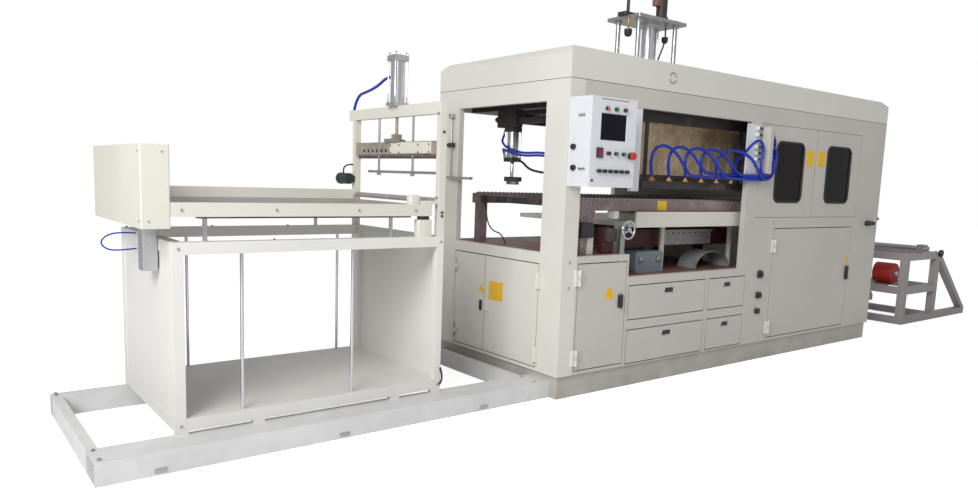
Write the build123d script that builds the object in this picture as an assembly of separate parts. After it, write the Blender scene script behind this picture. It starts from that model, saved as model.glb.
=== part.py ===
from build123d import *
import math
import os

# Thermoforming machine. Millimetres, +Z up, floor at Z = 0.
# X runs along the machine, from the stacking table to the roll stand. Y runs away from the
# operator's side. All sizes here are from the cabinet's lower corner at the operator's side and
# table end. The saved origin is under the plinth's operator-side channel, at the cabinet's middle.

# Cabinet
cabinet_length = 3940.0
cabinet_width = 1360.0
cabinet_height = 2150.0
wall = 40.0
plinth_height = 145.0
plinth_inset = 18.0
plinth_channel = 80.0
deck_thickness = 12.0
cap_bottom = 1956.0
cap_bevel_rise = 47.0
cap_bevel_run = 44.0
cap_skin = 20.0
cap_seam = 4.0

# Openings in the cabinet's walls
end_window_y0 = 204.0
end_window_y1 = 1100.0
end_window_z0 = 904.0
window_top = 1830.0
end_door_bottom = 165.0
end_door_top = 835.0
end_door_margin = 10.0
end_door_seam_y = 755.0
end_door_seam_gap = 10.0
front_window_x0 = 122.0
front_window_x1 = 1855.0
front_window_step_x = 600.0
front_window_sill_left = 892.0
front_window_sill_right = 743.0
left_door_x0 = 122.0
left_door_x1 = 585.0
left_door_top = 850.0
left_door_margin = 14.0
drawer_x0 = 610.0
drawer_x_mid = 1455.0
drawer_x1 = 1925.0
drawer_top = 687.0
drawer_row_height = 236.0
drawer_row_pitch = 298.0
drawer_post = 34.0
upper_door_x0 = 1990.0
upper_door_x1 = 3515.0
upper_door_bottom = 1124.0
door_window_width = 370.0
door_window_bottom = 1254.0
door_window_top = 1700.0
right_door_x0 = 2265.0
right_door_x1 = 3473.0
right_door_top = 1041.0
sheet_slot_bottom = 1150.0
sheet_slot_top = 1330.0
rear_window_x0 = 150.0

# Doors, drawers and their fits
door_gap = 7.0
door_thickness = 25.0
hinge_radius = 9.0
hinge_pin_radius = 5.0
hinge_fit = 0.08
hinge_proud = 13.0
knuckle = 34.0
knuckle_gap = 0.3
seat_gap = 0.3
drawer_depth = 620.0
drawer_skin = 8.0
drawer_side_drop = 24.0
runner_width = 30.0
runner_thickness = 12.0

# Rail frame on the floor
rail_x0 = -2565.0
rail_x1 = -58.0
rail_y0 = 82.0
rail_y1 = 1278.0
rail_height = 107.0
front_rail_width = 190.0
rear_rail_width = 90.0
rail_end_width = 48.0
rail_wall = 6.0

# Stacking table on the rails
table_x0 = -2192.0
table_x1 = -705.0
table_y0 = 243.0
table_y1 = 1240.0
table_bottom = 125.0
table_top = 1014.0
table_rail = 58.0
table_post = 50.0
table_skin = 5.0
pad_thickness = table_bottom - rail_height
guide_rod_radius = 9.0

# Outfeed unit above the table
beam_bottom = 1130.0
beam_top = 1195.0
beam_width = 50.0
beam_x1 = -790.0
rail_guide_height = 52.0
cover_x0 = -2321.0
cover_x1 = -2196.0
cover_bottom = 1077.0
cover_top = 1450.0
support_radius = 11.0

# Cross cutter portal
portal_x = -725.0
portal_tube = 40.0
portal_top = 1766.0
portal_beam = 66.0
portal_overhang = 70.0
portal_rear_y = 1262.0
blade_bottom = 1452.0
blade_top = 1552.0
blade_thickness = 34.0
clamp_bar_z = 1362.0
clamp_bar_height = 16.0
clamp_bar_y1 = 1079.0
cutter_guide_radius = 7.0
cutter_travel = 100.0
cutter_bore_radius = 43.0
cutter_cylinder_height = 300.0

# Roof tower
tower_x = 1418.0
tower_y = 682.0
tower_span_x = 415.0
tower_span_y = 200.0
tower_plate_bottom = 2550.0
tower_plate_thickness = 24.0
tower_plate_margin = 62.0
tower_column_radius = 17.0
tower_cylinder_radius = 50.0

# Roll stand
stand_x0 = 4956.0
stand_x1 = 5740.0
stand_brace_x1 = 6530.0
stand_y0 = 128.0
stand_y1 = 1230.0
stand_height = 730.0
stand_tube = 70.0


def box(x0, x1, y0, y1, z0, z1):
    """Block between two corners."""
    centre = ((x0 + x1) / 2, (y0 + y1) / 2, (z0 + z1) / 2)
    return Pos(*centre) * Box(x1 - x0, y1 - y0, z1 - z0)


def rod(x, y, z0, z1, radius):
    """Upright round bar."""
    return Pos(x, y, (z0 + z1) / 2) * Cylinder(radius, z1 - z0)


def rod_y(x, y0, y1, z, radius):
    """Round bar along Y."""
    return Pos(x, (y0 + y1) / 2, z) * Rot(90, 0, 0) * Cylinder(radius, y1 - y0)


def rod_x(x0, x1, y, z, radius):
    """Round bar along X."""
    return Pos((x0 + x1) / 2, y, z) * Rot(0, 90, 0) * Cylinder(radius, x1 - x0)


def tube(x0, x1, y0, y1, z0, z1, skin, along):
    """Rectangular hollow section, open at both ends along one axis."""
    outer = box(x0, x1, y0, y1, z0, z1)
    grow = {"x": (1, 0, 0), "y": (0, 1, 0), "z": (0, 0, 1)}[along]
    inset = [skin * (1 - g) - g for g in grow]
    inner = box(x0 + inset[0], x1 - inset[0], y0 + inset[1], y1 - inset[1],
                z0 + inset[2], z1 - inset[2])
    return outer - inner


def save(shape, node):
    """Write one node's STEP file, measured from the frame's origin."""
    origin = Pos(-cabinet_length / 2, -plinth_inset - plinth_channel / 2, 0)
    export_step(origin * shape, f"parts/{node}.step")


def solids(*shapes):
    """Several solids of one node that don't touch."""
    parts = []
    for shape in shapes:
        parts += list(shape.solids())
    return Compound(parts)


# Hinges: a door turns on upright pins held by two fixed knuckles, with its own knuckle between.
def hinge_fixed(x, y, z, toward):
    """Fixed half of one hinge. toward is the direction from the pin to the wall plate."""
    body = rod(x, y, z + knuckle / 2 + knuckle_gap, z + 1.5 * knuckle, hinge_radius)
    body += rod(x, y, z - 1.5 * knuckle, z - knuckle / 2 - knuckle_gap, hinge_radius)
    body += rod(x, y, z - 1.5 * knuckle, z + 1.5 * knuckle, hinge_pin_radius)
    return body


def hinge_moving(x, y, z):
    """Door's knuckle of one hinge, bored for the pin."""
    body = rod(x, y, z - knuckle / 2, z + knuckle / 2, hinge_radius)
    return body - rod(x, y, z - knuckle, z + knuckle, hinge_pin_radius + hinge_fit)


# Cabinet walls, roof and plinth
def drawer_rows():
    """Bottom and top of each drawer row, upper row first."""
    return [(drawer_top - row * drawer_row_pitch - drawer_row_height,
             drawer_top - row * drawer_row_pitch) for row in range(2)]


def drawer_columns():
    """Left and right edge of each drawer column."""
    return [(drawer_x0, drawer_x_mid - drawer_post / 2), (drawer_x_mid + drawer_post / 2, drawer_x1)]


def front_window_cut(y0, y1):
    """Stepped opening of the forming station."""
    high = box(front_window_x0, front_window_x1, y0, y1, front_window_sill_left, window_top)
    low = box(front_window_step_x, front_window_x1, y0, y1, front_window_sill_right, window_top)
    return high + low


def left_door_hinges():
    """Pin places of the lower left door."""
    x = left_door_x0 + left_door_margin + hinge_radius
    return [(x, -hinge_proud, end_door_bottom + 90), (x, -hinge_proud, left_door_top - 90)]


def right_door_hinges():
    """Pin places of the lower right door."""
    x = right_door_x0 + hinge_radius
    return [(x, -hinge_proud, end_door_bottom + 90), (x, -hinge_proud, right_door_top - 140)]


def end_door_hinges(y):
    """Pin places of an end door."""
    return [(-hinge_proud, y, end_door_bottom + 90), (-hinge_proud, y, end_door_top - 110)]


def hinge_plates(places, side_x, side_y):
    """Fixed halves of a door's hinges with the tab that carries each knuckle from the wall."""
    shape = None
    for x, y, z in places:
        half = hinge_fixed(x, y, z, None)
        for z0, z1 in ((z - 1.5 * knuckle, z - knuckle / 2 - knuckle_gap),
                       (z + knuckle / 2 + knuckle_gap, z + 1.5 * knuckle)):
            xa, xb = sorted((x, x + side_x))
            ya, yb = sorted((y, y + side_y))
            if side_x == 0:
                xa, xb = x - 3, x + 3
            half += box(xa, xb, ya, yb, z0, z1)
        shape = half if shape is None else shape + half
    return shape


def front_post():
    """Corner post between the forming station and the machine's table end."""
    return box(0, front_window_x0, 0, wall, plinth_height, cap_bottom)


def front_header():
    """Band over the forming station and the upper doors."""
    return box(front_window_x0, cabinet_length, 0, wall, window_top, cap_bottom)


def drawer_face_frame():
    """Lower front with the left door's opening, the drawers' openings and the stepped sill."""
    shape = box(front_window_x0, drawer_x1, 0, wall, plinth_height, front_window_sill_left)
    shape -= box(front_window_step_x, drawer_x1 + 1, -1, wall + 1,
                 front_window_sill_right, front_window_sill_left + 1)
    shape -= box(left_door_x0 + left_door_margin, left_door_x1, -1, wall + 1, end_door_bottom,
                 left_door_top)
    for x0, x1 in drawer_columns():
        for z0, z1 in drawer_rows():
            shape -= box(x0, x1, -1, wall + 1, z0, z1)
    return shape


def front_panel():
    """Right-hand front with the openings of the upper doors and the lower right door."""
    shape = box(drawer_x1, cabinet_length, 0, wall, plinth_height, window_top)
    shape += box(front_window_x1, drawer_x1, 0, wall, front_window_sill_right, window_top)
    shape -= box(right_door_x0, right_door_x1, -1, wall + 1, end_door_bottom, right_door_top)
    shape -= box(upper_door_x0, upper_door_x1, -1, wall + 1, upper_door_bottom, window_top + 1)
    return shape


def door_hinge_leaves():
    """Fixed hinge knuckles and pins of the four hinged doors, each on a leaf that meets its wall."""
    leaves = []
    leaf = 26.0
    for places in (left_door_hinges(), right_door_hinges()):
        for x, y, z in places:
            shape = hinge_fixed(x, y, z, None)
            for z0 in (z - 1.5 * knuckle, z + knuckle / 2 + knuckle_gap):
                shape += box(x - hinge_radius - leaf, x, y, y + 5, z0, z0 + knuckle - knuckle_gap)
            shape += box(x - hinge_radius - leaf, x - hinge_radius - 2, y, 0,
                         z - 1.5 * knuckle, z + 1.5 * knuckle)
            leaves.append(shape)
    for y_pin, side in ((end_door_y_near(), -1), (end_door_y_far(), 1)):
        for x, y, z in end_door_hinges(y_pin):
            shape = hinge_fixed(x, y, z, None)
            for z0 in (z - 1.5 * knuckle, z + knuckle / 2 + knuckle_gap):
                ya, yb = sorted((y, y + side * (hinge_radius + leaf)))
                shape += box(x, x + 5, ya, yb, z0, z0 + knuckle - knuckle_gap)
            ya, yb = sorted((y + side * (hinge_radius + 2), y + side * (hinge_radius + leaf)))
            shape += box(x, 0, ya, yb, z - 1.5 * knuckle, z + 1.5 * knuckle)
            leaves.append(shape)
    return solids(*leaves)


def end_door_y_near():
    """Pin line of the end door beside the operator's corner."""
    return end_window_y0 + hinge_radius


def end_door_y_far():
    """Pin line of the far end door."""
    return end_window_y1 + end_door_margin - hinge_radius


def rear_wall():
    """Rear wall with its own opening across the forming station."""
    y0 = cabinet_width - wall
    shape = box(0, cabinet_length, y0, cabinet_width, plinth_height, cap_bottom)
    shape -= box(rear_window_x0, front_window_x1, y0 - 1, cabinet_width + 1,
                 front_window_sill_left, window_top)
    return shape


def end_wall_posts():
    """Two uprights of the end wall, beside the sheet's window and the end doors."""
    near = box(0, wall, wall, end_window_y0, plinth_height, cap_bottom)
    far = box(0, wall, end_window_y1 + end_door_margin, cabinet_width - wall, plinth_height, cap_bottom)
    return solids(near, far)


def end_wall_rails():
    """Header, sill and bottom strip of the end wall, between its uprights."""
    y0 = end_window_y0
    y1 = end_window_y1 + end_door_margin
    header = box(0, wall, y0, y1, window_top, cap_bottom)
    sill = box(0, wall, y0, y1, end_door_top, end_window_z0)
    strip = box(0, wall, y0, y1, plinth_height, end_door_bottom)
    return solids(header, sill, strip)


def right_wall():
    """End wall at the roll stand, with the sheet's slot."""
    x0 = cabinet_length - wall
    shape = box(x0, cabinet_length, wall, cabinet_width - wall, plinth_height, cap_bottom)
    shape -= box(x0 - 1, cabinet_length + 1, end_window_y0, end_window_y1,
                 sheet_slot_bottom, sheet_slot_top)
    return shape


def roof_cover():
    """Hollow cap with a bevel all round, bored for the tower's columns and cylinder."""
    outer = box(0, cabinet_length, 0, cabinet_width, cap_bottom, cabinet_height)
    top_edges = outer.faces().sort_by(Axis.Z)[-1].edges()
    outer = chamfer(top_edges, cap_bevel_run, cap_bevel_rise)
    inner = box(cap_skin, cabinet_length - cap_skin, cap_skin, cabinet_width - cap_skin,
                cap_bottom - 1, cabinet_height - cap_bevel_rise - cap_skin)
    shape = outer - inner
    shape -= rod(tower_x, tower_y, cap_bottom, cabinet_height + 1, tower_cylinder_radius - 15)
    return shape


def plinth():
    """Recessed base channel all round, with the floor plate that it carries."""
    inset = plinth_inset
    outer = box(inset, cabinet_length - inset, inset, cabinet_width - inset, 0, plinth_height)
    inner = box(inset + plinth_channel, cabinet_length - inset - plinth_channel, inset + plinth_channel,
                cabinet_width - inset - plinth_channel, -1, plinth_height + 1)
    deck = box(wall, cabinet_length - wall, wall, cabinet_width - wall,
               plinth_height, plinth_height + deck_thickness)
    return outer - inner + deck


# Doors
def left_door():
    """Lower left door with its hinge knuckles and key handle."""
    g = door_gap
    shape = box(left_door_x0 + left_door_margin + g, left_door_x1 - g, 0, door_thickness,
                end_door_bottom + g, left_door_top - g)
    for x, y, z in left_door_hinges():
        shape += hinge_moving(x, y, z)
        shape += box(x + hinge_radius - 3, x + hinge_radius + 26, y, 0, z - knuckle / 2, z + knuckle / 2)
    x = left_door_x1 - 60
    z = left_door_top - 260
    shape += box(x - 11, x + 11, -22, 0, z - 45, z + 45)
    return shape


def right_door():
    """Lower right door."""
    g = door_gap
    shape = box(right_door_x0 + g, right_door_x1 - g, 0, door_thickness,
                end_door_bottom + g, right_door_top - g)
    for x, y, z in right_door_hinges():
        shape += hinge_moving(x, y, z)
        shape += box(x + hinge_radius - 3, x + hinge_radius + 26, y, 0, z - knuckle / 2, z + knuckle / 2)
    x = right_door_x1 - 32
    z = right_door_top - 405
    shape += box(x - 11, x + 11, -22, 0, z - 60, z + 60)
    return shape


def end_door(y_pin, y_free, handle):
    """End door between its pin line and its free edge."""
    side = 1 if y_free > y_pin else -1
    ya, yb = sorted((y_pin - side * (hinge_radius - door_gap), y_free))
    g = door_gap
    shape = box(0, door_thickness, ya, yb, end_door_bottom + g, end_door_top - g)
    for x, y, z in end_door_hinges(y_pin):
        shape += hinge_moving(x, y, z)
        pa, pb = sorted((y + side * (hinge_radius - 3), y + side * (hinge_radius + 26)))
        shape += box(x, 0, pa, pb, z - knuckle / 2, z + knuckle / 2)
    if handle:
        y = y_free - side * 30
        shape += box(-22, 0, y - 11, y + 11, 450, 540)
    return shape


def upper_doors():
    """Two fixed leaves with rounded windows."""
    leaves = []
    middle = (upper_door_x0 + upper_door_x1) / 2 + 33
    for x0, x1, wx in ((upper_door_x0, middle - 2, 2220), (middle + 2, upper_door_x1, 2970)):
        leaf = box(x0 + 3, x1 - 3, 0, door_thickness, upper_door_bottom + 3, window_top - 3)
        leaf += box(x0, x1, door_thickness, wall, upper_door_bottom, window_top)
        hole = box(wx, wx + door_window_width, -1, wall + 1,
                   door_window_bottom, door_window_top)
        leaf -= fillet(hole.edges().filter_by(Axis.Y), 50)
        leaves.append(leaf)
    return solids(*leaves)


def drawer(column, row):
    """Open drawer with its front, sides, back and floor."""
    x0, x1 = drawer_columns()[column]
    z0, z1 = drawer_rows()[row]
    g = door_gap
    shape = box(x0 + g, x1 - g, 0, door_thickness, z0 + g, z1 - g)
    tray = box(x0 + runner_width + g, x1 - runner_width - g, door_thickness, drawer_depth,
               z0 + runner_thickness + g, z1 - drawer_side_drop)
    tray -= box(x0 + runner_width + g + drawer_skin, x1 - runner_width - g - drawer_skin,
                door_thickness, drawer_depth - drawer_skin,
                z0 + runner_thickness + g + drawer_skin, z1)
    shape += tray
    xm = (x0 + x1) / 2
    shape -= box(xm - 45, xm + 45, -1, 14, z1 - 75, z1 - 40)
    return shape


def drawer_runners():
    """Fixed slides under both sides of each drawer, from the front wall to a rear post."""
    parts = []
    plates = ((drawer_x0 - 8, drawer_x_mid), (drawer_x_mid, drawer_x1 + 8))
    for (x0, x1), (plate_a, plate_b) in zip(drawer_columns(), plates):
        for z0, z1 in drawer_rows():
            z_top = z0 + runner_thickness + door_gap - seat_gap
            for xa, xb in ((plate_a, x0 + runner_width + 40), (x1 - runner_width - 40, plate_b)):
                parts.append(box(xa, xb, wall, drawer_depth + 60, z_top - runner_thickness, z_top))
    return parts


def drawer_carcass():
    """Upright plates that carry the drawer slides."""
    shape = None
    top = front_window_sill_right - 40
    z_deck = plinth_height + deck_thickness
    for x0, x1 in ((drawer_x0 - 16, drawer_x0 - 4), (drawer_x_mid - 7, drawer_x_mid + 7),
                   (drawer_x1 + 4, drawer_x1 + 16)):
        plate = box(x0, x1, wall, drawer_depth + 60, z_deck, top)
        shape = plate if shape is None else shape + plate
    for part in drawer_runners():
        shape += part
    return shape


# Rail frame and stacking table
def rail_frame():
    """Floor frame of hollow rails: two long rails and two end members."""
    x1 = plinth_inset
    front = tube(rail_x0, x1, rail_y0, rail_y0 + front_rail_width, 0, rail_height, rail_wall, "x")
    rear = tube(rail_x0, x1, rail_y1 - rear_rail_width, rail_y1, 0, rail_height, rail_wall, "x")
    y0 = rail_y0 + front_rail_width
    y1 = rail_y1 - rear_rail_width
    left = tube(rail_x0, rail_x0 + rail_end_width, y0, y1, 0, rail_height, rail_wall, "y")
    right = tube(rail_x1 - rail_end_width, rail_x1, y0, y1, 0, rail_height, rail_wall, "y")
    return front + rear + left + right


def table_frame():
    """Welded frame of the table: bottom and top rings of tube, corner posts."""
    t = table_rail
    shape = None
    for z0 in (table_bottom, table_top - t):
        for y0 in (table_y0, table_y1 - t):
            bar = box(table_x0, table_x1, y0, y0 + t, z0, z0 + t)
            shape = bar if shape is None else shape + bar
        for x0 in (table_x0, table_x1 - t):
            shape += box(x0, x0 + t, table_y0, table_y1, z0, z0 + t)
    p = table_post
    for x0 in (table_x0, table_x1 - portal_tube):
        for y0 in (table_y0, table_y1 - p):
            width = p if x0 == table_x0 else portal_tube
            shape += box(x0, x0 + width, y0, y0 + p, table_bottom, table_top)
    for x in (table_x0 + 30, -1790, -1010, table_x1 - 30):
        for y in (table_y0 + 14, table_y1 - 14):
            shape += box(x - 30, x + 30, y - 14, y + 14, rail_height, table_bottom)
    return shape


def table_panels():
    """Closed sheets at both ends of the table and its floor sheet."""
    p = table_post
    t = table_rail
    sheets = []
    for x in (table_x0 + 6, table_x1 - 6 - table_skin):
        sheets.append(box(x, x + table_skin, table_y0 + p, table_y1 - p, table_bottom + t, table_top - t))
    sheets.append(box(table_x0 + t, table_x1 - t, table_y0 + t, table_y1 - t,
                      table_bottom + t - 10, table_bottom + t))
    return solids(*sheets)


def table_rods():
    """Upright rods between the table's rings and short posts under the outfeed beams."""
    rods = []
    z0 = table_bottom + table_rail
    z1 = table_top - table_rail
    for x, y in ((-1866, table_y0 + 24), (-1270, table_y0 + 24),
                 (-1850, table_y1 - 24), (-885, table_y1 - 24)):
        rods.append(rod(x, y, z0, z1, guide_rod_radius))
    for x in (-2038, -1042):
        for y in (table_y0 + 25, table_y1 - 29):
            rods.append(rod(x, y, table_top, beam_bottom, support_radius))
    return solids(*rods)


# Outfeed unit


def outfeed_beams():
    """Two long beams, the rear one with its raised guide, and the cross member at the drive end."""
    y_rear = table_y1 - 54
    front = box(cover_x1, beam_x1, table_y0, table_y0 + beam_width, beam_bottom, beam_top)
    rear = box(cover_x1, beam_x1, y_rear, y_rear + beam_width, beam_bottom,
               beam_top + rail_guide_height)
    cross = box(cover_x1, cover_x1 + 40, table_y0 + beam_width, y_rear, beam_bottom, beam_top)
    return front + rear + cross


def outfeed_bed():
    """Slide bed between the beams and the end roller between the portal's columns."""
    bed = box(cover_x1 + 40, beam_x1, table_y0 + beam_width, table_y1 - 54, beam_top - 24, beam_top - 6)
    roller = rod_y(portal_x, table_y0 + portal_tube, portal_rear_y - portal_tube / 2, 1215, 16)
    return solids(bed, roller)


def drive_cover():
    """Sheet cover over the outfeed drive, folded with rounded edges."""
    shape = box(cover_x0, cover_x1, table_y0, table_y1 - 4, cover_bottom, cover_top)
    return fillet(shape.edges().filter_by(Axis.Z), 6)


def feed_cylinder():
    """Profile cylinder on the table's end, below the drive cover."""
    x0 = table_x0 - 70
    y0 = 480.0
    body = box(x0, table_x0, y0, y0 + 90, 860, cover_bottom)
    body = fillet(body.edges().filter_by(Axis.Z), 8)
    return body


# Cross cutter
def portal_frame():
    """Two columns and the top beam of the cross cutter, the columns on the table's frame."""
    h = portal_tube / 2
    shape = box(portal_x - h, portal_x + h, table_y0, table_y0 + portal_tube, table_top, portal_top)
    shape += box(portal_x - h, portal_x + h, portal_rear_y - h, portal_rear_y + h, 900, portal_top)
    shape += box(portal_x - h, portal_x + h, table_y1, portal_rear_y - h, 900, 960)
    beam = box(portal_x - h, portal_x + h, table_y0, portal_rear_y + portal_overhang,
               portal_top - portal_beam, portal_top)
    shape += beam
    y_mid = (table_y0 + portal_rear_y) / 2
    shape -= rod(portal_x, y_mid, portal_top - portal_beam - 1, portal_top + 1, 14)
    return shape


def cutter_cylinder():
    """Air cylinder on the portal's beam: flange, barrel and head."""
    y_mid = (table_y0 + portal_rear_y) / 2
    z0 = portal_top
    shape = box(portal_x - 50, portal_x + 50, y_mid - 50, y_mid + 50, z0, z0 + 20)
    shape += rod(portal_x, y_mid, z0 + 20, z0 + cutter_cylinder_height - 30, cutter_bore_radius)
    shape += box(portal_x - 48, portal_x + 48, y_mid - 48, y_mid + 48,
                 z0 + cutter_cylinder_height - 34, z0 + cutter_cylinder_height)
    shape -= rod(portal_x, y_mid, z0 - 1, z0 + cutter_cylinder_height - 40, 10)
    return shape


def clamp_bar():
    """Fixed bar below the blade with the guide rods that hang it from the beam."""
    shape = box(portal_x - 14, portal_x + 14, table_y0 + portal_tube, clamp_bar_y1,
                clamp_bar_z, clamp_bar_z + clamp_bar_height)
    for y in (563, 963):
        shape += rod(portal_x, y, clamp_bar_z + clamp_bar_height, portal_top - portal_beam,
                     cutter_guide_radius)
    return shape


def cutter_crosshead():
    """Moving blade beam with its piston rod, coupling block and end guides."""
    y_mid = (table_y0 + portal_rear_y) / 2
    y0 = table_y0 + portal_tube + 6
    y1 = portal_rear_y - portal_tube / 2 - 6
    t = blade_thickness / 2
    shape = box(portal_x - t, portal_x + t, y0, y1, blade_bottom + 24, blade_top)
    shape += box(portal_x - 3, portal_x + 3, y0 + 6, y1 - 6, blade_bottom, blade_bottom + 24)
    shape += box(portal_x - 26, portal_x + 26, y_mid - 60, y_mid + 60, blade_top, blade_top + 14)
    shape += box(portal_x - 26, portal_x + 26, y_mid - 20, y_mid + 20, blade_top, blade_top + 46)
    shape += rod(portal_x, y_mid, blade_top + 40, portal_top + 150, 9.7)
    for y in (563, 963):
        shape -= rod(portal_x, y, blade_bottom - 1, blade_top + 1, cutter_guide_radius + 1)
    return shape


def cutter_motor():
    """Small geared motor beside the rear column with its bracket."""
    h = portal_tube / 2
    shape = rod_y(portal_x - h - 42, portal_rear_y - 20, portal_rear_y + 110, 1318, 36)
    shape += box(portal_x - h - 60, portal_x - h, portal_rear_y - 20, portal_rear_y + 20, 1300, 1336)
    return shape


# Forming station inside the cabinet
def press_base():
    """Base plate above the drawers on four legs."""
    top = front_window_sill_right - 20
    shape = box(front_window_step_x + 20, 2230, wall, cabinet_width - wall, top - 20, top)
    for x in (front_window_step_x + 20, 2170):
        for y in (drawer_depth + 120, cabinet_width - wall - 60):
            shape += box(x, x + 60, y, y + 60, plinth_height + deck_thickness, top - 20)
    table = box(wall, front_window_step_x, wall, cabinet_width - wall, 868, 888)
    return solids(shape, table)


def lower_press():
    """Four round columns with the platen frame and its pale apron."""
    top = front_window_sill_right - 20
    shape = box(740, 2200, 80, 1280, 1058, 1090)
    shape += box(740, 2200, 80, 96, 1090, 1164)
    for x in (1270, 2100):
        for y in (290, 1100):
            shape += rod(x, y, top, 1060, 20)
    return shape


def chain_rails():
    """Two long rails that carry the sheet's chains, with brackets from the long walls."""
    rails = []
    for y, y0, y1 in ((120, wall, 120), (1180, 1240, cabinet_width - wall)):
        rail = box(233, 3860, y, y + 60, 1168, 1240)
        rail += box(260, 330, y, y + 60, 888, 1168)
        for x in (1980, 3600):
            rail += box(x, x + 70, y0, y1, 1176, 1232)
        rails.append(rail)
    return solids(*rails)


def top_beams():
    """Beams under the roof: cross beams between the long walls with two dark rails beneath."""
    shape = None
    for x in (640, 2190):
        bar = box(x, x + 70, wall, cabinet_width - wall, 1840, 1910)
        shape = bar if shape is None else shape + bar
    for y in (150, 1150):
        shape += box(640, 2260, y, y + 60, 1770, 1840)
    return shape


def heater_board():
    """Upright board behind the hoses, hung from the top beams."""
    shape = box(900, 2250, 410, 424, 1420, 1770)
    shape += box(900, 2250, 380, 440, 1770, 1800)
    for x in (960, 2160):
        shape += box(x, x + 40, 210, 380, 1776, 1796)
    return shape


def air_manifold():
    """Long bar with the hose fittings, on two straps from the beams."""
    shape = box(823, 2005, 100, 150, 1320, 1375)
    for x in (919, 1096, 1271, 1465, 1643):
        shape += rod(x, 125, 1375, 1400, 14)
    for x in (860, 1940):
        shape += box(x, x + 30, 150, 160, 1320, 1770)
    return shape


def mould():
    """Lower mould half on its table: dark front panel and the pale blocks beside it."""
    top = front_window_sill_right - 20
    shape = box(870, 2200, 340, 1060, 893, 1020)
    for x in (900, 1500, 2000):
        shape += box(x, x + 60, 500, 560, top, 893)
    return shape


def gearbox():
    """Gear housing of the press drive on the base plate."""
    z0 = front_window_sill_right - 20
    shape = box(950, 1240, 250, 430, z0, z0 + 150)
    return fillet(shape.edges().filter_by(Axis.Y), 18)


def wheel_bracket():
    """Bearing block of the handwheel on the step of the sill."""
    block = box(601, 646, 90, 150, front_window_sill_right - 20, 1100)
    return block - rod_y(621, 89, 151, 1047, 8 + hinge_fit)


def handwheel():
    """Handwheel with rim, spokes, hub and shaft."""
    x, y, z = 621.0, 40.0, 1047.0
    rim = Pos(x, y, z) * Rot(90, 0, 0) * Torus(58, 7)
    shape = rim + rod_y(x, y - 12, y + 12, z, 16) + rod_y(x, y, 170, z, 8)
    for angle in range(0, 360, 120):
        spoke = Pos(x, y, z) * Rot(0, angle, 0) * Pos(0, 0, 33) * Cylinder(6, 52)
        shape += spoke
    return shape


# Console, manifold plate and tower
def control_console():
    """Operator's console on the front wall, with a recess for the screen."""
    shape = box(5, 385, -180, 0, 1322, 1842)
    shape -= box(82, 305, -181, -172, 1592, 1752)
    return shape


def console_controls():
    """Lamps, switches and stop button on the console's face."""
    parts = []
    for x in (124, 200, 275):
        parts.append(rod_y(x, -196, -180, 1776, 12))
    for x in (150, 215, 280):
        parts.append(rod_y(x, -200, -180, 1520, 11))
    parts.append(box(55, 100, -192, -180, 1492, 1550))
    parts.append(rod_y(344, -214, -180, 1512, 21))
    for x in range(75, 360, 48):
        parts.append(rod_y(x, -202, -180, 1416, 11))
    return solids(*parts)


def valve_plate():
    """White plate with the valve strip right of the opening."""
    shape = box(1880, 1990, -6, 0, 1430, 1800)
    shape += box(1990, 2078, -46, 0, 1430, 1796)
    return shape


def tower_frame():
    """Four round columns on the roof with the head plate across them."""
    m = tower_plate_margin
    plate = box(tower_x - tower_span_x / 2 - m, tower_x + tower_span_x / 2 + m,
                tower_y - tower_span_y / 2 - m, tower_y + tower_span_y / 2 + m,
                tower_plate_bottom, tower_plate_bottom + tower_plate_thickness)
    shape = fillet(plate.edges().filter_by(Axis.Z), 10)
    for sx in (-1, 1):
        for sy in (-1, 1):
            shape += rod(tower_x + sx * tower_span_x / 2, tower_y + sy * tower_span_y / 2,
                         cabinet_height, tower_plate_bottom + 1, tower_column_radius)
    return shape


def tower_cylinder():
    """Press cylinder between the roof and the head plate."""
    shape = rod(tower_x + 20, tower_y, cabinet_height, tower_plate_bottom, tower_cylinder_radius)
    return shape


def tower_head():
    """Parts on the head plate: adjusting cylinder and spindle."""
    z = tower_plate_bottom + tower_plate_thickness
    shape = box(1330, 1600, 640, 724, z, z + 26)
    shape += rod(1575, tower_y, z + 26, z + 260, 42)
    shape += rod(1350, tower_y, z + 26, z + 200, 12)
    return shape


# Roll stand
def roll_stand():
    """Tube frame of the unwinder with raked end braces."""
    t = stand_tube
    shape = None
    for y in (stand_y0, stand_y1 - t):
        for x in (stand_x0, stand_x1 - t):
            post = box(x, x + t, y, y + t, 0, stand_height)
            shape = post if shape is None else shape + post
        for z in (0, 310, stand_height - t):
            shape += box(stand_x0, stand_x1, y, y + t, z, z + t)
        shape += box(stand_x1, stand_brace_x1, y, y + t, 0, t)
        with BuildPart() as brace:
            with BuildSketch(Plane.XZ.offset(-y)):
                with BuildLine():
                    Polyline((stand_x1 - 1, stand_height), (stand_x1 - 1, stand_height - 80),
                             (stand_brace_x1 - 80, t), (stand_brace_x1, t), close=True)
                make_face()
            extrude(amount=-t)
        shape += brace.part
    for x in (stand_x0, stand_x1 - t):
        for z in (0, 310, stand_height - t):
            shape += box(x, x + t, stand_y0, stand_y1, z, z + t)
    return shape


def roll_shaft():
    """Shaft across the stand in its two bearing blocks."""
    x = (stand_x0 + stand_x1) / 2
    z = stand_height + 45
    shape = rod_y(x, stand_y0 - 30, stand_y1 + 30, z, 28)
    for y in (stand_y0, stand_y1 - stand_tube):
        shape += box(x - 50, x + 50, y, y + stand_tube, stand_height, z + 42)
    return shape


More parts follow.
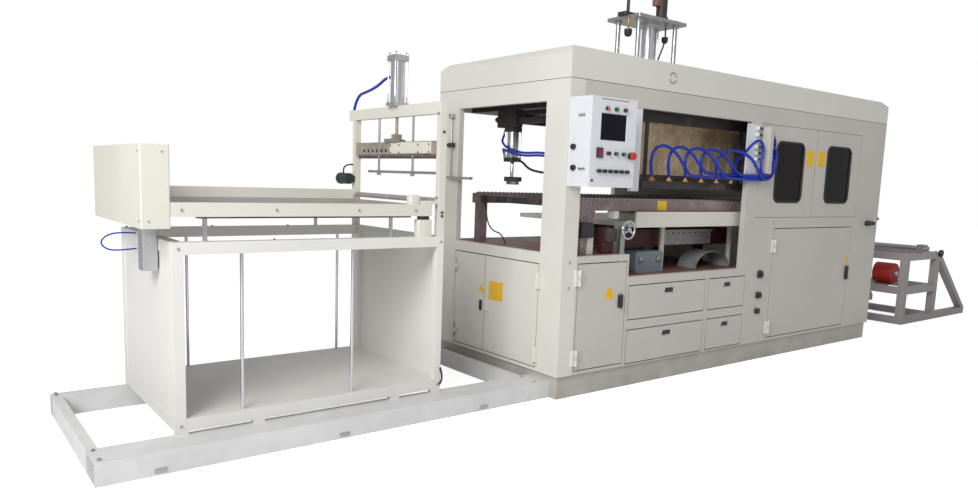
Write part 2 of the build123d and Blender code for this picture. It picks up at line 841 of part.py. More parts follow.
os.makedirs("parts", exist_ok=True)
nodes = {
    "front_post": front_post(),
    "front_header": front_header(),
    "drawer_face_frame": drawer_face_frame(),
    "front_panel": front_panel(),
    "cabinet_rear_wall": rear_wall(),
    "end_wall_posts": end_wall_posts(),
    "end_wall_rails": end_wall_rails(),
    "cabinet_right_wall": right_wall(),
    "roof_cover": roof_cover(),
    "cabinet_plinth": plinth(),
    "door_hinges": door_hinge_leaves(),
    "lower_left_door": left_door(),
    "lower_right_door": right_door(),
    "end_door_near": end_door(end_door_y_near(), end_door_seam_y - end_door_seam_gap / 2, True),
    "end_door_far": end_door(end_door_y_far(), end_door_seam_y + end_door_seam_gap / 2, False),
    "upper_doors": upper_doors(),
    "drawer_carcass": drawer_carcass(),
    "control_console": control_console(),
    "console_controls": console_controls(),
    "valve_plate": valve_plate(),
    "press_base": press_base(),
    "lower_press": lower_press(),
    "chain_rails": chain_rails(),
    "top_beams": top_beams(),
    "heater_board": heater_board(),
    "air_manifold": air_manifold(),
    "mould": mould(),
    "gearbox": gearbox(),
    "wheel_bracket": wheel_bracket(),
    "handwheel": handwheel(),
    "tower_frame": tower_frame(),
    "tower_cylinder": tower_cylinder(),
    "tower_head": tower_head(),
    "rail_frame": rail_frame(),
    "table_frame": table_frame(),
    "table_panels": table_panels(),
    "table_rods": table_rods(),
    "outfeed_beams": outfeed_beams(),
    "outfeed_bed": outfeed_bed(),
    "drive_cover": drive_cover(),
    "feed_cylinder": feed_cylinder(),
    "portal_frame": portal_frame(),
    "cutter_cylinder": cutter_cylinder(),
    "clamp_bar": clamp_bar(),
    "cutter_crosshead": cutter_crosshead(),
    "cutter_motor": cutter_motor(),
    "roll_stand": roll_stand(),
    "roll_shaft": roll_shaft(),
}
for column, side in enumerate(("left", "right")):
    for row, level in enumerate(("upper", "lower")):
        nodes[f"drawer_{level}_{side}"] = drawer(column, row)
for node, shape in nodes.items():
    save(shape, node)
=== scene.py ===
import bmesh
import bpy
import math
import numpy as np
from mathutils import Matrix, Vector


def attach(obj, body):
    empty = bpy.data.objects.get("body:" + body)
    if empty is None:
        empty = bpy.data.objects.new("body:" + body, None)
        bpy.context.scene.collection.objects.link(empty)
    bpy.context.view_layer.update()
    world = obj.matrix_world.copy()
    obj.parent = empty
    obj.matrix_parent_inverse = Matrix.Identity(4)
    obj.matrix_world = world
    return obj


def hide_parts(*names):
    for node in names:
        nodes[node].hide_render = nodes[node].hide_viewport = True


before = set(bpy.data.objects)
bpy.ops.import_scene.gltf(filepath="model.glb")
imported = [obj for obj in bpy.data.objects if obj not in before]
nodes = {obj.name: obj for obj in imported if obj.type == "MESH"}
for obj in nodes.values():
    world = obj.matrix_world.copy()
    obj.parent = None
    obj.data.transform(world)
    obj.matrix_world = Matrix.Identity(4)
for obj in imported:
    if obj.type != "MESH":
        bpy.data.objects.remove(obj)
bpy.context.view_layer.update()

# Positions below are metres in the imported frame: x along the machine, y away from the
# operator, z up. at() takes machine coordinates in mm, from the cabinet's lower corner.
cornerX = -1970.0
cornerY = -58.0


def at(x, y, z):
    return ((x + cornerX) / 1000.0, (y + cornerY) / 1000.0, z / 1000.0)


camera = {
    "place": (-5.11499, -3.34159, 1.35186),
    "yaw": 37.5503,      # degrees from +Y towards +X
    "pitch": -7.4927,
    "roll": 1.9945,
    "lens": 27.705,
    "shift": (0.00894, 0.02755),
}


def makeCamera(c):
    y, p, r = (math.radians(c[k]) for k in ("yaw", "pitch", "roll"))
    ahead = Vector((math.sin(y) * math.cos(p), math.cos(y) * math.cos(p), math.sin(p)))
    side = Vector((math.cos(y), -math.sin(y), 0.0))
    over = side.cross(ahead)
    side, over = (math.cos(r) * side + math.sin(r) * over, math.cos(r) * over - math.sin(r) * side)
    data = bpy.data.cameras.new("camera")
    data.lens = c["lens"]
    data.sensor_width = 36.0
    data.shift_x, data.shift_y = c["shift"]
    data.clip_start, data.clip_end = 0.05, 200.0
    obj = bpy.data.objects.new("camera", data)
    obj.matrix_world = Matrix.Translation(c["place"]) @ Matrix((side, over, -ahead)).transposed().to_4x4()
    bpy.context.scene.collection.objects.link(obj)
    bpy.context.scene.camera = obj


makeCamera(camera)


# Materials. Every one is built from noise on Object coordinates, so no face is one flat colour.
class Shader:
    def __init__(self, name):
        self.material = bpy.data.materials.new(name)
        self.material.use_nodes = True
        self.tree = self.material.node_tree
        self.bsdf = self.tree.nodes["Principled BSDF"]
        self.place = self.tree.nodes.new("ShaderNodeTexCoord").outputs["Object"]

    def node(self, kind, links=(), **values):
        made = self.tree.nodes.new(kind)
        for key, value in values.items():
            if hasattr(made, key):
                setattr(made, key, value)
            else:
                made.inputs[key.replace("_", " ")].default_value = value
        for socket, source in links:
            self.tree.links.new(source, made.inputs[socket])
        return made

    def noise(self, scale, stretch=(1, 1, 1), detail=4.0):
        moved = self.node("ShaderNodeMapping", [("Vector", self.place)])
        moved.inputs["Scale"].default_value = stretch
        return self.node("ShaderNodeTexNoise", [("Vector", moved.outputs[0])], Scale=scale,
                         Detail=detail).outputs["Fac"]

    def ramp(self, source, stops):
        made = self.node("ShaderNodeValToRGB", [("Fac", source)])
        elements = made.color_ramp.elements
        elements[0].position, elements[1].position = stops[0][0], stops[-1][0]
        elements[0].color, elements[1].color = (*stops[0][1], 1), (*stops[-1][1], 1)
        for place, colour in stops[1:-1]:
            elements.new(place).color = (*colour, 1)
        return made.outputs["Color"]

    def blend(self, fac, a, b, how="MIX"):
        made = self.node("ShaderNodeMix", data_type="RGBA", blend_type=how)
        for socket, value in ((0, fac), (6, a), (7, b)):
            if isinstance(value, (int, float, tuple)):
                made.inputs[socket].default_value = value if socket == 0 else (*value, 1)
            else:
                self.tree.links.new(value, made.inputs[socket])
        return made.outputs[2]

    def use(self, colour, rough=0.4, metal=0.0, bump=None, strength=0.05, depth=0.001, coat=0.0):
        self.tree.links.new(colour, self.bsdf.inputs["Base Color"])
        if isinstance(rough, float):
            self.bsdf.inputs["Roughness"].default_value = rough
        else:
            self.tree.links.new(rough, self.bsdf.inputs["Roughness"])
        self.bsdf.inputs["Metallic"].default_value = metal
        self.bsdf.inputs["Coat Weight"].default_value = coat
        if bump is not None:
            made = self.node("ShaderNodeBump", [("Height", bump)], Strength=strength, Distance=depth)
            self.tree.links.new(made.outputs[0], self.bsdf.inputs["Normal"])
        return self.material


def srgb(r, g, b):
    return tuple((c / 12.92 if c <= 0.04045 else ((c + 0.055) / 1.055) ** 2.4)
                 for c in (r / 255.0, g / 255.0, b / 255.0))


def scaled(colour, k):
    return tuple(min(1.0, c * k) for c in colour)


def paint(name, colour, rough=0.42, wear=0.05, lowDarkening=0.0, coat=0.0):
    s = Shader(name)
    broad = s.noise(1.3, detail=3.0)
    fine = s.noise(90.0, detail=2.0)
    tone = s.ramp(broad, [(0.3, scaled(colour, 1 - wear)), (0.7, scaled(colour, 1 + wear / 2))])
    tone = s.blend(0.06, tone, s.ramp(fine, [(0.35, scaled(colour, 0.8)), (0.65, colour)]))
    # darker towards the bottom: below 0.45 m the colour is mixed, in noise patches, towards 0.45 of itself
    if lowDarkening:
        height = s.node("ShaderNodeSeparateXYZ", [("Vector", s.place)]).outputs["Z"]
        low = s.node("ShaderNodeMapRange", [("Value", height)])
        for key, value in (("From Min", 0.0), ("From Max", 0.45), ("To Min", lowDarkening), ("To Max", 0.0)):
            low.inputs[key].default_value = value
        lowDarkMask = s.node("ShaderNodeMath", [(0, low.outputs[0]), (1, s.noise(9.0))], operation="MULTIPLY")
        tone = s.blend(lowDarkMask.outputs[0], tone, scaled(colour, 0.45))
    level = s.node("ShaderNodeMapRange", [("Value", broad)])
    level.inputs["To Min"].default_value = rough - 0.06
    level.inputs["To Max"].default_value = rough + 0.08
    return s.use(tone, level.outputs[0], bump=s.noise(260.0, detail=2.0), strength=0.035, coat=coat)


def metal(name, colour, rough=0.3, stretch=(1, 1, 1), shine=1.0):
    s = Shader(name)
    lines = s.noise(60.0, stretch=stretch, detail=5.0)
    stains = s.noise(4.0, detail=4.0)
    tone = s.ramp(lines, [(0.3, scaled(colour, 0.86)), (0.7, scaled(colour, 1.05))])
    tone = s.blend(s.ramp(stains, [(0.5, (0, 0, 0)), (0.8, (0.35, 0.35, 0.35))]), tone, scaled(colour, 0.6))
    level = s.node("ShaderNodeMapRange", [("Value", lines)])
    level.inputs["To Min"].default_value = max(0.03, rough - 0.08)
    level.inputs["To Max"].default_value = rough + 0.1
    return s.use(tone, level.outputs[0], metal=shine, bump=lines, strength=0.05)


def plastic(name, colour, rough=0.35, coat=0.2):
    s = Shader(name)
    grain = s.noise(160.0, detail=3.0)
    tone = s.ramp(s.noise(14.0), [(0.3, scaled(colour, 0.88)), (0.7, scaled(colour, 1.08))])
    return s.use(tone, rough, bump=grain, strength=0.03, coat=coat)


def pane(name, colour):
    s = Shader(name)
    tone = s.ramp(s.noise(2.2, stretch=(1, 1, 0.4)), [(0.35, scaled(colour, 0.6)), (0.7, scaled(colour, 1.5))])
    s.bsdf.inputs["Specular IOR Level"].default_value = 0.12
    return s.use(tone, 0.16, coat=0.05, bump=s.noise(3.0), strength=0.02)


def worn(name, colour, rust, share=0.45, rough=0.5, shine=0.3):
    s = Shader(name)
    patches = s.noise(7.0, detail=8.0)
    mask = s.ramp(patches, [(share, (0, 0, 0)), (share + 0.22, (1, 1, 1))])
    tone = s.ramp(s.noise(30.0), [(0.3, scaled(colour, 0.8)), (0.7, scaled(colour, 1.15))])
    tone = s.blend(mask, tone, rust)
    return s.use(tone, rough, metal=shine, bump=patches, strength=0.08)


looks = {
    "white": srgb(222, 220, 211),
    # painted shade: the cabinet white darkened for the panels of the long side, which lies darker than the end
    "shadedSideWhite": srgb(203, 198, 191),
    "tableWhite": srgb(228, 226, 221),
    "railWhite": srgb(226, 226, 226),
    "coverWhite": srgb(222, 219, 208),
    "consoleWhite": srgb(226, 228, 234),
    "plinthWhite": srgb(196, 192, 184),
    "standGrey": srgb(168, 160, 160),
    "darkRed": srgb(78, 26, 32),
    "hoseBlue": srgb(10, 44, 168),
    "brassGold": srgb(214, 160, 84),
}
material = {
    "cabinet": paint("cabinetPaint", looks["white"], lowDarkening=0.25),
    # painted shade: a darker copy of the cabinet paint for the long side's panels
    "side": paint("shadedSidePaint", looks["shadedSideWhite"], lowDarkening=0.3),
    "table": paint("tablePaint", looks["tableWhite"], lowDarkening=0.35),
    "floorSheet": worn("tableFloor", srgb(196, 194, 182), srgb(150, 146, 130), shine=0.1),
    "rail": paint("railPaint", looks["railWhite"], wear=0.08, lowDarkening=0.5),
    "cover": paint("coverPaint", looks["coverWhite"], rough=0.36),
    "console": paint("consolePaint", looks["consoleWhite"], rough=0.3, wear=0.03),
    "plinth": paint("plinthPaint", looks["plinthWhite"], wear=0.09, lowDarkening=0.8),
    "stand": paint("standPaint", looks["standGrey"], wear=0.14, lowDarkening=0.6),
    "tan": worn("boardCoating", srgb(240, 216, 178), srgb(206, 178, 142), share=0.52, shine=0.0),
    "chrome": metal("polishedChrome", (0.78, 0.78, 0.80), rough=0.12),
    "steel": metal("machinedSteel", (0.52, 0.52, 0.52), rough=0.32, stretch=(1, 1, 8)),
    "alu": metal("anodisedProfile", (0.66, 0.67, 0.70), rough=0.3, stretch=(8, 8, 1)),
    "dark": worn("darkSteel", srgb(66, 60, 62), srgb(112, 96, 92), share=0.55),
    "rails": worn("chainRailSteel", srgb(148, 130, 132), srgb(172, 154, 150), share=0.5),
    "blade": worn("bladeSteel", srgb(168, 158, 146), srgb(98, 88, 84), share=0.56),
    "bed": worn("bedSheet", srgb(176, 166, 166), srgb(132, 120, 96), share=0.58, shine=0.4),
    "deckRed": worn("redDeck", srgb(146, 112, 104), srgb(104, 72, 68), share=0.5, shine=0.1),
    "mouldRed": paint("mouldCoating", looks["darkRed"], rough=0.5, wear=0.2),
    "mouldGrey": worn("mouldSteel", srgb(176, 176, 180), srgb(120, 118, 120), share=0.55),
    "red": paint("redPaint", srgb(176, 32, 26), rough=0.38, wear=0.12),
    "brass": metal("bareBrass", looks["brassGold"], rough=0.25),
    "black": plastic("blackPlastic", srgb(34, 34, 38)),
    "screen": pane("screenGlass", srgb(26, 22, 40)),
    "window": pane("windowGlass", srgb(22, 13, 15)),
    "blueHose": plastic("blueHose", looks["hoseBlue"], rough=0.4, coat=0.12),
    "blackCable": plastic("blackCable", srgb(26, 26, 30), rough=0.42),
    "greenLamp": plastic("greenCap", srgb(24, 150, 70), rough=0.2),
    "redLamp": plastic("redCap", srgb(208, 44, 44), rough=0.2),
    "pinkLamp": plastic("pinkCap", srgb(214, 92, 104), rough=0.2),
    "maroonLamp": plastic("maroonCap", srgb(130, 44, 58), rough=0.2),
    "yellow": plastic("yellowLabel", srgb(238, 190, 20), rough=0.45, coat=0.1),
    "greenMotor": worn("motorPaint", srgb(44, 62, 56), srgb(26, 34, 32), share=0.5, shine=0.2),
    # rubber of the window beads, also used for the painted shadow in the cap seam
    "sealAndSeamShadow": plastic("rubberSealAndSeamShadow", srgb(38, 36, 36), rough=0.6, coat=0.0),
    "tape": plastic("stripBrown", srgb(128, 92, 84), rough=0.5),
    "lightBox": paint("gearPaint", srgb(138, 150, 162), rough=0.4, wear=0.1),
}
nodeLooks = {
    "cabinet": "front_post end_wall_posts end_wall_rails roof_cover door_hinges end_door_near "
               "end_door_far cabinet_rear_wall cabinet_right_wall",
    # the long side's panels take the darker copy of the cabinet paint, as painted shade
    "side": "front_header drawer_face_frame front_panel lower_left_door lower_right_door upper_doors "
            "drawer_upper_left drawer_lower_left drawer_upper_right drawer_lower_right",
    "plinth": "cabinet_plinth", "rail": "rail_frame", "table": "table_frame table_panels",
    "cover": "drive_cover portal_frame outfeed_beams lower_press", "console": "control_console valve_plate",
    "black": "console_controls", "steel": "drawer_carcass wheel_bracket "
    "tower_frame clamp_bar roll_shaft", "dark": "top_beams air_manifold tower_head",
    "rails": "chain_rails", "tan": "heater_board", "mouldRed": "mould",
    "deckRed": "press_base", "lightBox": "gearbox", "chrome": "handwheel table_rods",
    "alu": "tower_cylinder cutter_cylinder feed_cylinder", "blade": "cutter_crosshead",
    "greenMotor": "cutter_motor", "bed": "outfeed_bed", "stand": "roll_stand",
}
for look, names in nodeLooks.items():
    for name in names.split():
        slots = nodes[name].material_slots
        for held in slots:
            held.link = "OBJECT"
            held.material = material[look]
        if not slots:
            nodes[name].data.materials.append(material[look])
print("materials ready")


# Cords: each is one smooth curve with its route's points as control points.
hoses = {
    "fittingX": 919.0, "fittingPitch": 182.2, "fittingY": 125.0, "fittingZ": 1400.0,
    "laneY": 24.0, "laneZ": 1410.0, "lanePitch": 22.0, "laneShift": 54.0,
    "stripX": 2024.0, "levels": (1785.0, 1695.0, 1740.0, 1605.0, 1650.0, 1562.0),
    "rise": ((-26, 95), (-2, 190), (76, 222), (158, 172), (208, 84)),
    "near": (0.0, 0.06, 0.30, 0.66, 1.0), "far": (0.0, 0.10, 0.46, 0.86, 1.0),
    "diameter": 0.021,
}
lastHose = ((1824, 115, 1480), (1806, 66, 1548), (1778, -6, 1598), (1782, -58, 1656), (1820, -78, 1696),
            (1884, -78, 1682), (1908, -78, 1622), (1893, -76, 1555), (1888, -76, 1482),
            (1937, -74, 1438), (1998, -74, 1438), (2057, -74, 1490))
riser = (((2012, 0), (2084, 72), (2092, 170)), ((2000, 24), (2058, 82), (2066, 170)))


def formingRoute(k, h):
    x = h["fittingX"] + k * h["fittingPitch"]
    column, row = k // 2, k % 2
    out = h["laneY"] - column * h["lanePitch"] - h["laneShift"]
    level = h["levels"][k]
    start, end = (x, h["fittingY"], h["fittingZ"]), (h["stripX"], out, level)
    if k == 5:
        return [start, *lastHose, (2066, out, level), end]
    goal = out + h["laneShift"] if k < 4 else out
    rowZ = h["laneZ"] + row * h["lanePitch"]
    points = [start]
    for (dx, dz), share in zip(h["rise"], h["near"] if k < 4 else h["far"]):
        points.append((x + dx, h["fittingY"] + share * (goal - h["fittingY"]), h["fittingZ"] + dz))
    last = x + 282
    points.append((last, goal, rowZ + 3))
    if k < 4:
        for station, sway in ((1290, 5), (1450, -4), (1600, 4), (1740, 0)):
            if station > last + 75:
                points.append((station, goal, rowZ + sway))
        points += [(1850, out, rowZ), (1925, out, rowZ - 3)]
    for xUp, zUp in riser[row][:2]:
        points.append((xUp, out, h["laneZ"] + zUp))
    xUp, zUp = riser[row][2][0], h["laneZ"] + riser[row][2][1]
    if level > zUp + 75:
        points.append((xUp, out, zUp))
    if level > zUp + 180:
        points.append((xUp + 3, out, (zUp + level) / 2))
    return [*points, (xUp, out, level), end]


lineRoutes = {
    "cutterHose": (0.018, "blueHose", ((-725, 818.5, 1945), (-725, 879.5, 1950), (-725, 989.5, 1905),
                   (-725, 1109.5, 1880), (-725, 1269.5, 1862), (-725, 1304.5, 1766))),
    "feedHose": (0.008, "blueHose", ((-2192, 905, 1006), (-2262, 907, 1012), (-2330, 911, 1000),
                 (-2364, 915, 960), (-2330, 919, 922), (-2262, 923, 916), (-2186, 925, 924))),
    "tieCable": (0.010, "blackCable", ((295, 1180, 1204), (295, 1150, 1130), (295, 1125, 1020),
                 (295, 1050, 965), (295, 955, 960), (295, 905, 888))),
    "motorTube": (0.010, "blackCable", ((-800, 1300, 1350), (-802, 1302, 1374), (-797, 1297, 1396),
                  (-780, 1285, 1408), (-760, 1277, 1411), (-744, 1274, 1411))),
}


def layCord(name, points, diameter, look):
    data = bpy.data.curves.new(name, "CURVE")
    data.dimensions = "3D"
    data.bevel_depth = diameter / 2
    data.bevel_resolution = 5
    data.resolution_u = 10
    data.use_fill_caps = True
    line = data.splines.new("NURBS")
    line.points.add(len(points) - 1)
    for point, place in zip(line.points, points):
        point.co = (*at(*place), 1.0)
    line.order_u = 3
    line.use_endpoint_u = True
    obj = bpy.data.objects.new(name, data)
    bpy.context.scene.collection.objects.link(obj)
    data.materials.append(material[look])
    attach(obj, "machine")
    print(name, round(line.calc_length(), 3), "m")


for k in range(6):
    layCord(f"formingHose{k + 1}", formingRoute(k, hoses), hoses["diameter"], "blueHose")
for name, (diameter, look, points) in lineRoutes.items():
    layCord(name, points, diameter, look)
print("cords ready")


# Surfaces. A piece is an array of patches, each a grid of points: patch, ring, point on the ring.
def addPiece(name, patches, look, body="machine", smooth=True):
    patches = np.asarray(patches, float)
    k, m, n, _ = patches.shape
    # a face joins two neighbours on a ring with the same two on the next ring
    ring, step = np.meshgrid(np.arange(m - 1), np.arange(n), indexing="ij")
    a = ring * n + step
    b = ring * n + (step + 1) % n
    quads = np.stack((a, b, b + n, a + n), -1).reshape(-1, 4)
    faces = (np.arange(k)[:, None, None] * m * n + quads).reshape(-1, 4)
    mesh = bpy.data.meshes.new(name)
    mesh.from_pydata(patches.reshape(-1, 3), [], faces)
    obj = bpy.data.objects.new(name, mesh)
    bpy.context.scene.collection.objects.link(obj)
    weld(mesh)
    mesh.polygons.foreach_set("use_smooth", [smooth] * len(mesh.polygons))
    mesh.materials.append(material[look])
    if smooth:
        mesh.set_sharp_from_angle(angle=math.radians(38))
    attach(obj, body)
    return obj


def weld(mesh):
    made = bmesh.new()
    made.from_mesh(mesh)
    bmesh.ops.remove_doubles(made, verts=made.verts, dist=1e-6)
    bmesh.ops.recalc_face_normals(made, faces=made.faces)
    made.to_mesh(mesh)
    made.free()


def rise(profile, width, height, radius, count=24):
    # a ring is a circle of the radius less the inset, its quarters pushed out to the corners of the
    # width and height; each ring is raised by its level, and a share of 0 closes it in the middle
    inset, level, share = (np.asarray(v, float)[:, None] for v in zip(*profile))
    u = (np.arange(count) + 0.5) * 2 * np.pi / count
    c, s = np.cos(u), np.sin(u)
    return np.stack((((width / 2 - radius) * np.sign(c) + (radius - inset) * c) * share,
                     ((height / 2 - radius) * np.sign(s) + (radius - inset) * s) * share,
                     level + 0 * c), -1)


def fan(profile, reach, turn, corners):
    # a polygon or rounded star: each ring is the reach less the inset, at evenly spaced turns
    inset, level, share = (np.asarray(v, float)[:, None] for v in zip(*profile))
    u = np.arange(corners) * 2 * np.pi / corners + turn
    return np.stack(((reach - inset) * share * np.cos(u), (reach - inset) * share * np.sin(u),
                     level + 0 * u), -1)


turns = {
    "front": np.array(((1, 0, 0), (0, 0, 1), (0, -1, 0)), float),
    "rear": np.array(((-1, 0, 0), (0, 0, 1), (0, 1, 0)), float),
    "end": np.array(((0, -1, 0), (0, 0, 1), (-1, 0, 0)), float),
    "right": np.array(((0, 1, 0), (0, 0, 1), (1, 0, 0)), float),
    "up": np.array(((1, 0, 0), (0, 1, 0), (0, 0, 1)), float),
    "down": np.array(((1, 0, 0), (0, -1, 0), (0, 0, -1)), float),
}


def setAt(patch, places, facing):
    # the patch's own x, y and height turn to the facing's three directions, then move to each place
    turned = patch @ turns[facing]
    places = (np.asarray(places, float) + (cornerX, cornerY, 0.0)) / 1000.0
    return places[:, None, None, :] + turned[None] / 1000.0


def plateProfile(thick, edge):
    return ((0, 0, 0), (0, 0, 1), (0, thick - edge, 1), (edge * 0.3, thick - edge * 0.3, 1),
            (edge, thick, 1), (edge * 2 + 0.4, thick, 1), (edge * 2 + 0.4, thick, 0))


def knobProfile(height, dome):
    return ((0, 0, 0), (0, 0, 1), (0, height - dome, 1), (dome * 0.3, height - dome * 0.3, 1),
            (dome, height, 1), (dome * 1.4, height, 0))


def plates(name, places, facing, size, look, thick=1.2, edge=0.5, corner=3.0, body="machine",
           count=24):
    radius = max(min(corner, *size), 2 * edge + 1)
    patch = rise(plateProfile(thick, edge), size[0], size[1], radius, count)
    return addPiece(name, setAt(patch, places, facing), look, body)


def discs(name, places, facing, size, height, look, dome=2.0, body="machine", count=24):
    patch = rise(knobProfile(height, dome), size, size, size / 2, count)
    return addPiece(name, setAt(patch, places, facing), look, body)


def bolts(name, places, facing, size, look="steel", body="machine", height=None):
    patch = fan(knobProfile(height or size * 0.55, size * 0.12), size / 2, 0.0, 6)
    return addPiece(name, setAt(patch, places, facing), look, body, smooth=False)


def triangles(name, places, facing, size, look, thick, body="machine"):
    # a triangle with rounded corners: the reach shrinks by a cosine between its three peaks
    u = np.arange(36) * 2 * np.pi / 36 + np.pi / 2
    reach = size * (0.5 - 0.185 * (1 - np.cos(3 * (u - np.pi / 2))) / 2)
    patch = fan(plateProfile(thick, 0.3), reach, np.pi / 2, 36)
    return addPiece(name, setAt(patch, places, facing), look, body)


def rings(name, places, size, thread, look, corner, body="machine", count=72):
    # a bead round an opening: its section is a small circle, one arm outwards and one forwards
    u = (np.arange(count) + 0.5) * 2 * np.pi / count
    t = np.arange(13)[:, None] * 2 * np.pi / 12
    c, s = np.cos(u), np.sin(u)
    out = corner + thread / 2 * np.cos(t)
    shell = np.stack(((size[0] / 2 - corner) * np.sign(c) + out * c, (size[1] / 2 - corner) * np.sign(s) + out * s,
                      thread / 2 * np.sin(t) + 0 * c), -1)
    return addPiece(name, setAt(shell, places, "front"), look, body)


def pipes(name, path, radius, look, body="machine", count=12, side=(0, 0, 1)):
    # rings of points round a path: one arm across the path and the given side, one across both
    path = (np.asarray(path, float) + (cornerX, cornerY, 0.0)) / 1000.0
    ahead = np.gradient(path, axis=0)
    ahead /= np.linalg.norm(ahead, axis=1)[:, None]
    arm = np.cross(ahead, np.asarray(side, float))
    arm /= np.linalg.norm(arm, axis=1)[:, None]
    other = np.cross(arm, ahead)
    u = np.arange(count) * 2 * np.pi / count
    shell = path[:, None] + radius / 1000.0 * (np.cos(u)[None, :, None] * arm[:, None]
                                               + np.sin(u)[None, :, None] * other[:, None])
    ends = [np.repeat(p[None, None], count, axis=1) for p in (path[0], path[-1])]
    return addPiece(name, np.concatenate((ends[0], shell, ends[1]))[None], look, body)


def bow(points, steps=24):
    # a smooth line through the corner points: Bezier weights of the whole list
    points = np.asarray(points, float)
    t = np.linspace(0, 1, steps)[:, None]
    n = len(points) - 1
    weights = np.array([math.comb(n, i) for i in range(n + 1)]) * t ** np.arange(n + 1) * \
        (1 - t) ** (n - np.arange(n + 1))
    return weights @ points


# Labels and stickers, left bare
labels = {"upperDoor": (118, 122), "square": (150, 128), "triangle": 92}
plates("upperDoorLabels", [(2696, 0, 1600), (2868, 0, 1600)], "front", labels["upperDoor"], "yellow", 0.8, 0.3)
plates("endDoorLabel", [(0, 632, 598)], "end", labels["square"], "yellow", 0.8, 0.3, body="near_end_door")
triangles("leftDoorTriangle", [(430, 0, 640)], "front", labels["triangle"], "yellow", 0.8, "left_door")
triangles("rightDoorTriangle", [(3437, 0, 742)], "front", labels["triangle"] * 0.85, "yellow", 0.8, "right_door")
triangles("endDoorTriangle", [(0, 790, 590)], "end", 64, "yellow", 0.8, "far_end_door")
plates("railLabel", [(1040, 120, 1204)], "front", (98, 66), "yellow", 0.8, 0.3)

# Console face
console = {"face": -180.0, "lamps": (("pinkLamp", 124), ("greenLamp", 200), ("maroonLamp", 275))}
plates("consoleScreen", [(193.5, -172, 1672)], "front", (216, 152), "screen", 2.0, 1.0)
for look, x in console["lamps"]:
    discs(look + "Cap", [(x, -196, 1776)], "front", 21, 6, look, 5)
discs("switchCaps", [(215, -200, 1520), (280, -200, 1520)], "front", 19, 5, "greenLamp", 4)
discs("stopCap", [(344, -206, 1512)], "front", 47, 8.4, "redLamp", 1.2)
plates("rockerFace", [(77.5, -192, 1521)], "front", (34, 46), "maroonLamp", 3, 1.4)
plates("sideLatches", [(5, -102, 1735), (5, -120, 1426)], "end", (58, 16), "chrome", 7, 3, corner=7.0)
discs("sideKnobs", [(5, -46, 1553), (5, -53, 1431)], "end", 34, 20, "black", 6)
discs("keyhole", [(28, -180, 1360)], "front", 15, 5, "black", 1)
plates("screenFrame", [(193.5, -180, 1829)], "front", (236, 6), "steel", 1.2, 0.4)
print("labels and console ready")

# Windows of the upper doors: dark panes in rubber beads
windows = {"x": (2405, 3155), "z": 1477, "pane": (369, 445), "corner": 50.0, "bead": (382, 458)}
plates("doorPanes", [(x, 9, windows["z"]) for x in windows["x"]], "front", windows["pane"], "window", 6, 1,
       corner=windows["corner"], count=48)
rings("windowSeals", [(x, 1, windows["z"]) for x in windows["x"]], windows["bead"], 20, "sealAndSeamShadow", 56.0)
rings("roofRing", [(918, 0, 2045)], (66, 66), 9, "steel", 33.0)
rings("drawerPullsUpper", [(1024, 0, 632)], (92, 34), 4, "chrome", 8.0, "upper_left_drawer")
rings("drawerPullsLower", [(1024, 0, 335)], (92, 34), 4, "chrome", 8.0, "lower_left_drawer")
rings("smallPullUpper", [(1698, 0, 632)], (78, 34), 4, "chrome", 8.0, "upper_right_drawer")
rings("smallPullLower", [(1698, 0, 335)], (78, 34), 4, "chrome", 8.0, "lower_right_drawer")
pulls = (("pullCupA", 1024, 632, 86, "upper_left_drawer"), ("pullCupB", 1024, 335, 86, "lower_left_drawer"),
         ("pullCupC", 1698, 632, 72, "upper_right_drawer"), ("pullCupD", 1698, 335, 72, "lower_right_drawer"))
for name, x, z, width, body in pulls:
    plates(name, [(x, 0, z)], "front", (width, 28), "black", 1.0, 0.4, corner=7.0, body=body)
# dark strips along the cap seam: painted shadow of the gap between the roof cap and the walls
plates("seamShadowFront", [(1970, 0, 1956)], "front", (3936, 3), "sealAndSeamShadow", 0.5, 0.2, corner=1.2)
plates("seamShadowEnd", [(0, 680, 1956)], "end", (1356, 3), "sealAndSeamShadow", 0.5, 0.2, corner=1.2)


# Key handles: a rounded plate and a lever
def keyHandle(name, place, facing, body):
    x, y, z = place
    plates(name + "Plate", [place], facing, (26, 112), "chrome", 5, 1.5, corner=12.0, body=body)
    lift = {"front": (0, -5, 0), "end": (-5, 0, 0)}[facing]
    plates(name + "Lever", [(x + lift[0], y + lift[1], z - 14)], facing, (15, 74), "black", 12, 4, corner=7.0,
           body=body)


plates("leftDoorGrip", [(525, -0.5, 590)], "front", (27, 97), "black", 25, 6, corner=9.0, body="left_door")
plates("rightDoorGrip", [(3441, -0.5, 636)], "front", (27, 127), "black", 25, 6, corner=9.0, body="right_door")
keyHandle("endDoorHandle", (0, 786, 495), "end", "far_end_door")

# Valve strip: white plate, brown strip and a connector for each hose, in place of the CAD plate
strip = {"levels": hoses["levels"], "lanes": (-30, -30, -52, -52, -74, -74), "rows": np.arange(1560, 1800, 45.0)}
valvePieces = [
    plates("valvePlate", [(1881, 0, 1632)], "front", (162, 364), "console", 6, 2),
    plates("valveStrip", [(1987, 0, 1627)], "front", (50, 346), "plinth", 90, 4, corner=5.0),
    discs("hoseConnectors", [(2011, y, z) for z, y in zip(strip["levels"], strip["lanes"])], "right", 26, 13,
          "brass", 2),
]
for piece in valvePieces:
    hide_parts("valve_plate")
discs("connectorCollars", [(2012, y, z) for z, y in zip(strip["levels"], strip["lanes"])], "right", 31, 8,
      "tape", 2)
discs("stripScrews", [(1881 + dx, -6, z) for dx in (-66, 66) for z in (1468, 1620, 1795)], "front", 12, 4,
      "steel", 1.5)
plates("stripValves", [(1925, -6, z) for z in strip["rows"]], "front", (50, 26), "console", 26, 3)
plates("stripCoils", [(1925, -32, z) for z in strip["rows"]], "front", (30, 20), "black", 9, 2)

